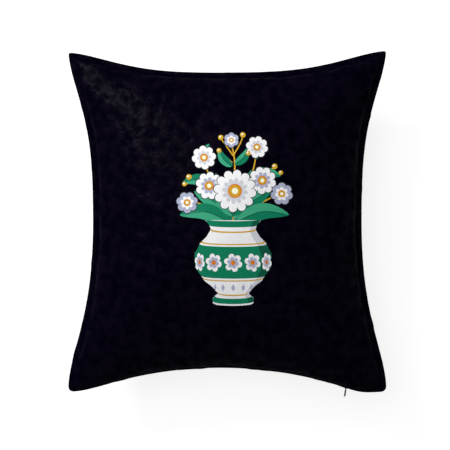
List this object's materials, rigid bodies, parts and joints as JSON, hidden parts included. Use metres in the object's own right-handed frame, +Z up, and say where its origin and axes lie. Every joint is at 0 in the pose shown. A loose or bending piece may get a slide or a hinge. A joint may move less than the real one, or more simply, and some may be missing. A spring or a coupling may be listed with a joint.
{
  "type": "throw cushion",
  "caption": "Square stuffed throw cushion with pulled-in sides and a zip along the bottom seam whose slider travels and whose pull swings.",
  "frame": {"origin": "middle of the flat patch of the back panel that the cushion rests on", "axes": "+X to the right and +Y to the top edge as the printed front is looked at, +Z up out of the front; the zip is in the -Y seam"},
  "size_m": [0.374, 0.4064, 0.1274],
  "materials": {
    "cover_cloth": "fine black woven cloth with a slight sheen; the front carries a printed design",
    "pad_cloth": "plain white non-woven case over a soft fill",
    "zip_tape": "woven black tape",
    "zip_teeth": "moulded black plastic",
    "zip_metal": "die-cast metal with a dark grey satin coat"
  },
  "bodies": {
    "cover": {"front_panel": "cover_cloth", "back_panel": "cover_cloth", "inner_pad": "pad_cloth", "zip_tape_front": "zip_tape", "zip_tape_back": "zip_tape", "zip_teeth_front": "zip_teeth", "zip_teeth_back": "zip_teeth", "zip_top_stop_front": "zip_metal", "zip_top_stop_back": "zip_metal", "zip_bottom_stop": "zip_metal"},
    "slider": {"zip_slider": "zip_metal"},
    "pull": {"zip_pull": "zip_metal"}
  },
  "joints": [
    {"name": "slider_travel", "type": "hinge", "parent": "cover", "child": "slider", "pos_m": [-0.008, -0.6421, 0.056], "axis": [0, 0, 1], "range_deg": [0, 34.7], "deforming": ["zip_teeth_front", "zip_teeth_back"]},
    {"name": "pull_swing", "type": "hinge", "parent": "slider", "child": "pull", "pos_m": [0.13956, -0.19555, 0.056], "axis": [0, 0, 1], "range_deg": [-88, 68]}
  ]
}
